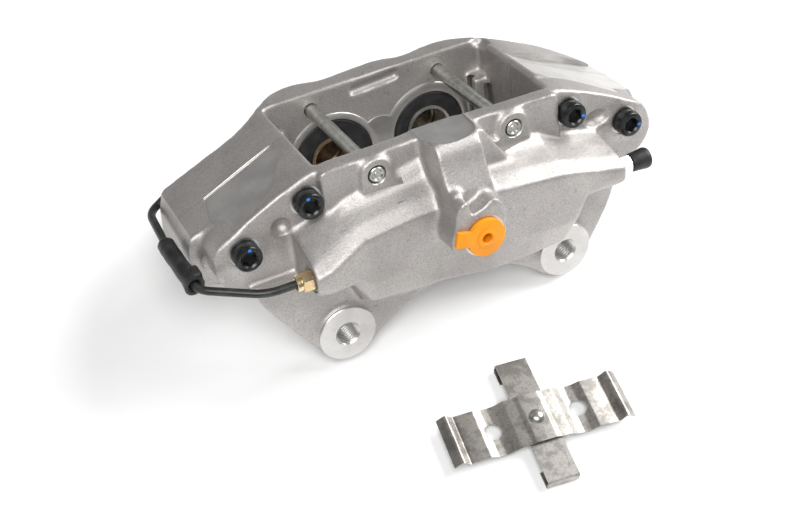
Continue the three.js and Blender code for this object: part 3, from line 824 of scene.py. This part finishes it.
# %% Machining of the inboard half
cut(inboard, prism(END_TRIM, 28, 80))
cut(inboard, [block((-160, 160), (SPLIT - HALF_GAP, 80), (-20, 140)),
              facet(LEFT_FLAT, 8, 60, 80, 107.1, 0.449), facet(RIGHT_FLAT, 14, 60, 80, 107.6, 0.462)],
    ALLOY)
for ring in ring_lands("inboard"):
    combine(inboard, rough("ring", ring, ALLOY), "UNION")
for _, sign in SIDES:
    ring = turned([(0, 0), (17.4, 0), (17.9, 0.5), (17.9, 6), (0, 6)], "y", (sign * LUG_X, 0, 0), 96)
    combine(inboard, rough("lug_ring", ring, ALLOY), "UNION")
cut(inboard, bore_tools("inboard"), ALLOY)
cut(inboard, bolt_holes(), ALLOY)
cut(inboard, [bar("y", x, z, 9.4, 0, 7.9, 64) for x, z in BOLTS], ALLOY)
for _, sign in SIDES:
    cut(inboard, [bar("y", sign * PIN_X, PIN_Z, 4.3, -5, 20, 32),
                  turned([(0, -5), (6.4, -5), (6.4, -0.9), (5.4, 0.4), (5.4, 6.6), (0, 6.6)], "y",
                         (sign * PIN_X, 0, PIN_Z), 48)], ALLOY)
    cut(inboard, block((sign * PIN_X - 14, sign * PIN_X + 14), (-6, -0.4), (88, 112)))
    cut(inboard, [turned([(0, -3), (8.0, -3), (8.0, -0.1), (7.0, 0.9), (0, 0.9)], "y",
                         (sign * LUG_X, 0, 0), 64),
                  thread(6.5, 1.9, 0.4, 22, "y", (sign * LUG_X, 0, 0))], ALLOY)
cut(inboard, [bar("x", *INNER_PORT, 8.4, -125, -92.8, 48), bar("x", *INNER_PORT, 5, -94, -79, 32),
              bar("x", *INNER_PORT, 4.3, 85.5, 130, 32), block((103.6, 118), (-30, 6), (40, 69))], ALLOY)
cut(inboard, turned([(0, 0), (12.9, 0), (12.9, 5), (0, 5)], "y", (0, -43, HOSE_PORT_Z), 64), ALLOY)
cut(inboard, bar("y", 0, HOSE_PORT_Z, 5, -45, -24, 40), ALLOY)
TOWER_TOP = [(-15.5, 20), (-15.2, 2, 3), (-13.6, -8.5, 3), (-8.6, -13.6, 3), (2.1, -14.2, 4),
             (13.0, -12.4, 5), (17.5, -2, 4), (18.5, 20)]
cut(inboard, prism(TOWER_TOP, 109.1, 125, "z"), ALLOY)
print("inboard casting:", len(inboard.data.polygons), "faces")
finish(inboard, "root", "cast_body", [CAST, MACHINED], "inboard_housing")

# %% [markdown]
# ## The outboard casting
# The outboard half closes the arch. Its back is two bulges over the piston bores, a foot edge that the
# caliper stands on, and a boss at each end for the fluid ports. Its inner wall carries a shallow
# pocket near the rim, and there is a step for the pads' ears at each end of the window.

# %% Lumps of the outboard half
PLAN = [(-156, SPLIT), (-156, 91.5, 3), (-128, 91.5, 8), (-104, 89, 10), (-88, 90, 10),
        (-74, 102, 10), (-60, 113, 10), (-44, 113.5, 8), (-31, 108, 8), (-16, 110, 8), (0, 111.5, 14),
        (14, 110, 8), (23, 105, 8), (42, 109.5, 8), (57, 109.5, 8), (76, 100, 8), (92, 91, 12),
        (116, 90, 16), (136, 79, 8), (147, 64, 6), (149.5, SPLIT)]
outboard = rough("outboard_casting", prism(CREST, SPLIT - 4, 120))
combine(outboard, rough("plan", prism(PLAN + [(149.5, 40), (-156, 40)], -40, 160, "z")), "INTERSECT")
cut(outboard, [window_space(), disc_space()])


def outer_wall(x0, x1):
    """The wall that carries the outboard pistons. Its lower edge is what the caliper stands on."""
    return prism([
        (95, 20), (100, 18), (112, 18), (119, 26, 6), (123, 38, 8), (123, 76, 12), (116, 90, 10),
        (106, 98, 6), (95, 103),
    ], x0, x1, "x")


def outer_shoulder(x0, x1):
    """The lower step beside that wall, between the barrels and the bridges."""
    return prism([(95, 32), (104, 34, 6), (115, 46, 10), (116, 70, 10), (108, 84, 10), (95, 92)],
                 x0, x1, "x")


cylinders = [turned([(0, 0), (30, 0), (29, 22), (26, 28), (20, 32), (0, 32.5)], "y",
                    (sign * PISTON_X, 95, PISTON_Z), 48) for _, sign in SIDES]
outer_lumps = [outer_wall(-64, 64), outer_shoulder(-84, 84), *cylinders,
               bar("x", *OUTER_PIPE_PORT, 10.5, -92, -50), bar("x", *OUTER_BLEEDER_PORT, 10.5, 50, 98),
               block((-15, 15), (110, 129), (30, 44)), block((-4, 4), (100, 126), (40, 96))]
outer_lumps += [prism([(60, 48), (100, 50, 6), (108, 62, 8), (104, 78, 8), (94, 88, 8), (60, 90)],
                      sign * 85 - 10.5, sign * 85 + 10.5, "x") for _, sign in SIDES]
outer_lumps += [block((64, 80), (84, 100), (30, 88)), block((-80, -64), (84, 100), (30, 88))]
fuse(outboard, "outer_lumps", outer_lumps)
pocket = soften(block((-17, 17), (92, 98.2), (99, 105.4)), 2.2, segments=4)
bmesh.ops.rotate(pocket, verts=pocket.verts, cent=(0, 95, 103),
                 matrix=Matrix.Rotation(math.radians(-4), 3, "Y"))
cut(outboard, [pocket, bar("y", 74, 110.5, 5.2, 86, 97, 32)])
cast(outboard)
print("outboard skin:", len(outboard.data.polygons), "faces")

# %% Machining of the outboard half
cut(outboard, [prism(END_TRIM, 40, 100), prism(BACK_TRIM, 30, 120, "z")])
for _, sign in SIDES:  # the steps that the pads' ears sit in
    low, high = sorted((sign * 63.5, sign * 68.5))
    cut(outboard, soften(block((low, high), (88, 99.5), (30, 88)), 1.2))
    low, high = sorted((sign * 70.2, sign * 78))
    cut(outboard, soften(block((low, high), (80, 93.5), (30, 84)), 1.5))
cut(outboard, [block((-160, 160), (30, SPLIT + HALF_GAP), (-20, 140)),
               facet(RIGHT_FLAT, 50, 75, 80, 107.6, 0.462)], ALLOY)
for ring in ring_lands("outboard"):
    combine(outboard, rough("ring", ring, ALLOY), "UNION")
cut(outboard, bore_tools("outboard"), ALLOY)
cut(outboard, bolt_holes(), ALLOY)
cut(outboard, [bar("y", sign * PIN_X, PIN_Z, 4.5, 90, 125, 32) for _, sign in SIDES], ALLOY)
cut(outboard, [bar("x", *OUTER_PIPE_PORT, 8.4, -110, -92.2, 48),
               bar("x", *OUTER_PIPE_PORT, 5, -100, -78, 32),
               bar("x", *OUTER_BLEEDER_PORT, 4.3, 80, 110, 32),
               block((98.1, 112), (100, 130), (44, 70))], ALLOY)
finish(outboard, "root", "cast_body", [CAST, MACHINED], "outboard_housing")

# %% [markdown]
# ## Fasteners
# Four socket-head screws clamp the halves. They are turned, so their heads are spun from a profile
# with the chamfer and the worn rim, and the hexagon is cut with a countersink. Each head carries a dab
# of blue paint, the mark of a screw that has been torqued.

# %% Bridge bolts
DABS = [(0.9, 5.6), (-1.3, 5.4), (5.2, -1.2), (5.2, -0.9)]  # across and up from each bolt's centre
for number, ((x, z), (dab_x, dab_z)) in enumerate(zip(BOLTS, DABS), 1):
    bolt = rough(f"bolt_{number}", turned([
        (0, -1.4), (6.5, -1.4), (7.3, -1.15), (7.85, -0.4), (8, 0.6), (8, 3.4), (7.86, 3.6), (8, 3.8),
        (8, 7.4), (7.7, 7.7), (5, 7.7), (5, 75), (4.2, 76), (0, 76)], "y", (x, 0, z), 72))
    cut(bolt, [bar("y", x, z, 4.75, -3, 4.2, sides=6),
               turned([(0, -2), (5.3, -2), (5.3, -1.4), (4.3, -0.5), (0, -0.5)], "y", (x, 0, z), 48),
               turned([(0, 4), (4.1, 4), (0, 6)], "y", (x, 0, z), 32)])
    combine(bolt, rough("dab", ball((x + dab_x, -1.2, z + dab_z), (1.25, 0.55, 1.0)), 1), "UNION")
    finish(bolt, "root", "black_steel", [BLACK_OXIDE, BLUE_DAB], f"bridge_bolt_{number}")

# %% Pad pins
for side, sign in SIDES:
    x = sign * PIN_X
    pin = rough(f"pin_{side}", turned([
        (0, 0.5), (1.2, 0.45), (1.5, 0.75), (2.7, 0.75), (3.1, 0.2), (3.5, -0.4), (4.2, -0.4),
        (4.65, 0.0), (4.7, 0.4), (4.7, 6.2), (4.5, 6.5), (4.15, 6.6), (4, 7.1), (4, 103.2),
        (3.3, 105.3), (2.7, 106), (0, 106)], "y", (x, 0, PIN_Z), 56))
    finish(pin, f"pad_pin_{side}", "plated_steel", SATIN_ZINC, f"pad_pin_{side}")

# %% [markdown]
# ## Pistons and dust boots
# A piston is a deep cup, so its open mouth looks dark with a thin bright rim; that dark inside is painted shade.
# The boot is a moulded ring with a shallow fold, held in the groove behind the piston's nose.

# %% Pistons, boots and seals
CUP_WALL = 12.79  # faces nearer a piston's axis than this are its cup's inside, painted dark as shade

for half, into in (("inboard", -1), ("outboard", 1)):
    face = INNER[half] - into * RING_PROUD
    for side, sign in SIDES:
        body = BORE[side] - 0.15
        rim = BORE[side] + BOOT_EXTRA - 0.35
        place = (sign * PISTON_X, face, PISTON_Z)
        piston = rough(f"cup_{half}_{side}", turned([
            (0, 20), (4, 19.9), (11.4, 19.6), (12.5, 18.6), (12.8, 17), (12.8, 0.9), (13.1, -0.2),
            (13.6, -0.75), (14.7, -0.8), (15.2, -0.55), (15.4, 0), (15.4, 0.5), (15.1, 0.7),
            (14.6, 0.75), (14.6, 2.5), (15.4, 2.6), (15.4, 4.3), (15.8, 4.6), (body - 0.8, 4.6),
            (body, 5.3), (body, 24), (body - 0.5, 24.5), (0, 24.5)], "y", place, 96, into < 0))
        # Faces inside the cup take the dark material: painted shade for the hollow.
        for part in piston.data.polygons:
            if math.hypot(part.center.x - place[0], part.center.z - PISTON_Z) < CUP_WALL:
                part.material_index = 1
        finish(piston, f"{half}_piston_{side}", "piston_metal",
               [BRONZE if side == "left" else SILVER, CUP_PAINTED_SHADE], f"{half}_piston_{side}")
        boot = rough(f"boot_{half}_{side}", turned([
            (15.05, 1.0), (15, 1.6), (15.1, 2.2), (17.2, 2.25), (18.2, 2.7), (19, 3.7), (19.6, 4),
            (rim - 0.3, 4), (rim, 3.7), (rim, 0.6), (rim - 0.4, 0.15), (rim - 1.3, 0.12),
            (rim - 1.9, 0.5), (19.6, 0.85), (18.6, 0.8), (17.6, 0.45), (16.6, 0.35), (15.8, 0.5),
            (15.3, 0.75)], "y", place, 96, into < 0))
        finish(boot, "root", "black_rubber", RUBBER, f"{half}_dust_boot_{side}")
        seal = rough(f"ring_{half}_{side}", turned([
            (body + 0.35, 6.5), (body + 0.35, 9.1), (body + 0.6, 9.3), (body + 2.1, 9.3),
            (body + 2.35, 9.0), (body + 2.35, 6.6), (body + 2.1, 6.3), (body + 0.6, 6.3)],
            "y", place, 48, into < 0))
        finish(seal, "root", "black_rubber", RUBBER, f"{half}_piston_seal_{side}")

# %% [markdown]
# ## Fluid fittings
# A tube nut and a bleeder are both hexagons whose corners are turned off, so each is a six-sided bar
# crossed with a double cone. The bleeder's spigot has a barb that holds the rubber cap.

# %% Tube nuts, bleeders and caps
PORTS = {"inboard": {"pipe": (-93, *INNER_PORT), "bleeder": tuple(BLEEDER_SEAT)},
         "outboard": {"pipe": (-92, *OUTER_PIPE_PORT), "bleeder": (98, *OUTER_BLEEDER_PORT)}}


def hexagon(name, radius, low, high, place):
    """A hexagon along x with its corners turned off at both ends."""
    x, y, z = place
    made = rough(name, bar("x", y, z, radius, x + low, x + high, sides=6))
    cone = turned([(0, low), (radius - 1.1, low), (radius + 0.2, low + 0.8),
                   (radius + 0.2, high - 0.8), (radius - 1.1, high), (0, high)], "x", place, 48)
    return combine(made, rough("cone", cone), "INTERSECT")


for half in ("inboard", "outboard"):
    pipe_place, place = PORTS[half]["pipe"], PORTS[half]["bleeder"]
    nut = hexagon(f"nut_{half}", 6.35, -9.3, -0.3, pipe_place)
    for profile in ([(0, -12.3), (4.2, -12.3), (4.6, -11.9), (4.6, -9), (0, -9)],
                    [(0, -0.6), (4.7, -0.6), (4.7, 11), (4, 12), (0, 12)]):
        combine(nut, rough("part", turned(profile, "x", pipe_place, 48)), "UNION")
    cut(nut, turned([(0, -13), (3.6, -13), (3.6, -12.3), (3.1, -11.6), (3.1, 13), (0, 13)], "x",
                    pipe_place, 40))
    finish(nut, "root", "yellow_zinc", YELLOW_ZINC, f"{half}_tube_nut")

    screw = hexagon(f"screw_{half}", 5.8, 0.5, 8.5, place)
    shank = [(0, -16), (2, -16), (4, -14)]
    for turn_number in range(13):
        shank += [(4, -13.9 + turn_number), (3.5, -13.4 + turn_number)]
    for profile in (shank + [(4, -0.8), (4, 1), (0, 1)],
                    [(0, 8), (3, 8), (3, 15), (3.7, 15.4), (3.6, 17), (3, 18.6), (2.4, 19), (0, 19)]):
        combine(screw, rough("part", turned(profile, "x", place, 48)), "UNION")
    cut(screw, bar("x", place[1], place[2], 1.1, place[0] - 4, place[0] + 20, 24))
    finish(screw, f"{half}_bleeder", "plated_steel", BRIGHT_ZINC, f"{half}_bleeder_screw")

    cap = rough(f"cap_{half}", turned([
        (0, 19.8), (3.6, 19.8), (4.1, 19.2), (4.1, 9.5), (4.4, 9.2), (5.1, 9.2), (5.5, 9.5),
        (5.8, 10.5), (6.0, 14), (6.5, 18.6), (6.5, 20.2), (6.0, 21.3), (4.8, 21.9), (2, 22.1),
        (0, 22.1)], "x", place, 64))
    finish(cap, f"{half}_bleeder_cap", "black_rubber", RUBBER, f"{half}_bleeder_cap")
print("fittings done")

# %% [markdown]
# ## Crossover pipe and its sleeve
# The pipe leaves the inboard nut, turns round the end of the casting and comes back along the outboard
# half. A rubber sleeve keeps it off the casting; its lower mouth is belled and its side is moulded
# into a clip that hooks on the casting's edge.

# %% Pipe and sleeve
ROUTE = [(-84, -15, 57), (-122, -14.6, 57.2, 8), (-154.5, 4, 62.3, 7), (-157.4, 45, 68.3, 6),
         (-156, 84, 70.3, 7), (-126, 114, 69.2, 10), (-108, 117, 69, 6), (-78, 117, 69)]
line = route(ROUTE)
pipe = rough("pipe", sweep(line, 2.4, 28))
finish(pipe, "root", "black_steel", PIPE_COAT, "crossover_pipe", crease=50)

SLEEVE_FROM, SLEEVE_TO = 9, 50  # the stretch of the pipe that the sleeve covers, by y
start = next(i for i, point in enumerate(line) if point.y > SLEEVE_FROM)
end = next(i for i, point in enumerate(line) if point.y > SLEEVE_TO)
covered = [line[start] + (line[start] - line[start + 1]).normalized() * 1.5]
for near, far in zip(line[start:end], line[start + 1:end + 1]):
    count = max(1, round((far - near).length / 4))
    covered += [near.lerp(far, i / count) for i in range(count)]
radii = [5.0 + 1.0 * max(0, 1 - i / 3) + 0.12 * math.sin(1.7 * i) for i in range(len(covered))]
radii[-1] = 4.3
sleeve = rough("sleeve", sweep(covered, radii, 32))
clip = soften(block((-155, -148.6), (9, 20), (58, 69)), 2, segments=3)
combine(sleeve, rough("clip", clip), "UNION")
longer = [covered[0] + (covered[0] - covered[1]).normalized() * 4, *covered,
          covered[-1] + (covered[-1] - covered[-2]).normalized() * 4]
cut(sleeve, [sweep(longer, 3.0, 24), sweep(longer[:3], [5.4, 4.4, 2.8], 24)])
finish(sleeve, "root", "black_rubber", RUBBER, "pipe_sleeve", crease=40)

# %% [markdown]
# ## Hose port plug
# A moulded plastic plug keeps dirt out of the hose port until the caliper is fitted. It has a thin
# flange, a grip tab to the left, and a hollow stub.

# %% Plug
HOSE_PORT = (0, 0, HOSE_PORT_Z)
TAB_TURN = 0.24
plug = rough("plug", turned([(0, -41.3), (11, -41.3), (11.5, -41.1), (11.7, -40.6), (11.7, -38.6),
                             (11.4, -38.3), (0, -38.3)], "y", HOSE_PORT, 96))
tab = soften(block((-19, -6), (-41.3, -38.3), (56.2, 65.8)), 0.5)
bmesh.ops.rotate(tab, verts=tab.verts, cent=HOSE_PORT, matrix=Matrix.Rotation(TAB_TURN, 3, "Y"))
combine(plug, rough("tab", tab), "UNION")
for profile in ([(0, -42), (5.6, -42), (6, -41.8), (6.2, -41), (0, -41)],
                [(0, -39), (4.6, -39), (4.6, -28.8), (4, -28), (0, -28)]):
    combine(plug, rough("part", turned(profile, "y", HOSE_PORT, 64)), "UNION")
cut(plug, turned([(0, -44), (3.6, -44), (3.6, -42), (3, -41.3), (3, -32), (0, -32)], "y",
                 HOSE_PORT, 48))
finish(plug, "hose_port_plug", "orange_plug", ORANGE, "hose_port_plug")

# %% [markdown]
# ## The pad spring
# The spring lies beside the caliper. Its leaf is a strip with pressed ridges, a hole each side of the
# middle, and ends that rise to a turned-down lip. The strap crosses under it and its ends are folded
# back below. A rivet joins the two.

# %% Strips of sheet metal
SPRING = (Matrix.Translation((0.014260, -0.095780, 0)) @ Matrix.Rotation(-0.13, 4, "Z")
          @ Matrix.Scale(MM, 4))


def strip(line, low, high, axis, reach):
    """Bent sheet: a line of across and up points, with every bend rounded over the reach given."""
    nodes = [(a, b, 0, reach) for a, b in line]
    points = [point.xy for point in route(nodes, steps=4)]
    sides = ([], [])
    for i, point in enumerate(points):
        way = (points[min(i + 1, len(points) - 1)] - points[max(i - 1, 0)]).normalized()
        out = Vector((-way.y, way.x)) * SHEET / 2
        sides[0].append(tuple(point + out))
        sides[1].append(tuple(point - out))
    return prism(sides[0] + sides[1][::-1], low, high, axis)


SHEET, LEAF_HALF_WIDTH, STRAP_HALF_WIDTH = 0.8, 15.75, 9.75
HALF_LEAF = [(6.6, 8.9), (8.6, 7.9), (15.6, 7.6), (20.6, 4.8), (24.5, 4.2), (29.5, 4.4), (34, 6.3),
             (45, 5.8), (46.4, 5.2), (48.6, 6.9), (50.6, 9.7), (52.2, 9.8), (56.5, 6.4)]
LEAF = [(-a, b) for a, b in reversed(HALF_LEAF)] + HALF_LEAF
STRAP = [(-30.5, 0.4), (-40.5, 0.4), (-40.5, 6.6), (40.5, 6.6), (40.5, 0.4), (30.5, 0.4)]
leaf = rough("leaf", strip(LEAF, -LEAF_HALF_WIDTH, LEAF_HALF_WIDTH, "y", 0.8))
cut(leaf, [bar("z", across, 0, 5.25, -1, 14, 64) for across in (-27, 27)])
finish(leaf, "pad_spring", "stainless", STAINLESS, "spring_leaf", crease=24, place=SPRING)
strap = rough("strap", strip(STRAP, -STRAP_HALF_WIDTH, STRAP_HALF_WIDTH, "x", 1.1))
finish(strap, "pad_spring", "stainless", STAINLESS, "spring_strap", crease=24, place=SPRING)
rivet = rough("rivet", turned([(0, 4.6), (3.2, 4.6), (3.9, 5.2), (4, 5.8), (2.6, 5.9), (2.6, 9.1),
                               (4.6, 9.1), (4.5, 9.9), (3.7, 11.0), (2.4, 11.8), (0, 12.1)], "z",
                              sides=64))
finish(rivet, "pad_spring", "stainless", SATIN_ZINC, "spring_rivet", place=SPRING)

# %% [markdown]
# ## The room, the light and the camera
# The caliper stands on a plain white table under broad soft light, with the strongest light above its
# right end. The camera looks down at it from the front left with a short telephoto lens.

# %% Table, light and camera
bpy.ops.mesh.primitive_plane_add(size=6, location=(0, 0, -0.0003))
table = bpy.context.object
table.name = "table"
tree = blank("white_table")
table.data.materials.append(surface(
    "white_table", mix(tree, noise(tree, place_of(tree), 2), (0.90, 0.90, 0.90), (0.92, 0.92, 0.92)),
    0.6, 0.0))
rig.stage(table)

AIM = Vector((-0.0291, 0.0013, 0.060))
FOCAL_LENGTH = 54.76
CAMERA_RANGE, CAMERA_HEIGHT, CAMERA_SIDE, CAMERA_ROLL = 0.7003, 53.26, 31.24, 5.60
height, side = math.radians(CAMERA_HEIGHT), math.radians(CAMERA_SIDE)
away = Vector((-math.sin(side) * math.cos(height), -math.cos(side) * math.cos(height),
               math.sin(height)))
lens = bpy.data.cameras.new("camera")
lens.lens = FOCAL_LENGTH
lens.sensor_width = 36
camera = bpy.data.objects.new("camera", lens)
bpy.context.scene.collection.objects.link(camera)
camera.matrix_world = (Matrix.Translation(AIM + CAMERA_RANGE * away)
                       @ away.to_track_quat("Z", "Y").to_matrix().to_4x4()
                       @ Matrix.Rotation(math.radians(CAMERA_ROLL), 4, "Z"))
bpy.context.scene.camera = camera


def soft_light(name, place, size, power):
    """A round soft light that faces the caliper."""
    lamp = bpy.data.lights.new(name, "AREA")
    lamp.shape = "DISK"
    lamp.size = size
    lamp.energy = power
    made = bpy.data.objects.new(name, lamp)
    bpy.context.scene.collection.objects.link(made)
    spot = Vector(place)
    made.matrix_world = Matrix.Translation(spot) @ spot.to_track_quat("Z", "Y").to_matrix().to_4x4()


soft_light("key", (1.7, 0.2, 1.4), 1.6, 52)
soft_light("fill", (-0.6, -0.8, 1.8), 1.4, 38)
world = bpy.data.worlds.new("studio")
world.use_nodes = True
background = world.node_tree.nodes["Background"].inputs
background["Color"].default_value = (1, 1, 1, 1)
background["Strength"].default_value = 0.19
bpy.context.scene.world = world
bpy.context.scene.view_settings.view_transform = "Standard"

# %% Sizes
for placeholder in PLACEHOLDERS:
    bpy.data.materials.remove(placeholder)
with open("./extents.json", "w") as sizes:
    json.dump({"cad": [list(corner) for corner in cad_box],
               "visual": [list(corner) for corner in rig.bounds()]}, sizes)
print(open("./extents.json").read())
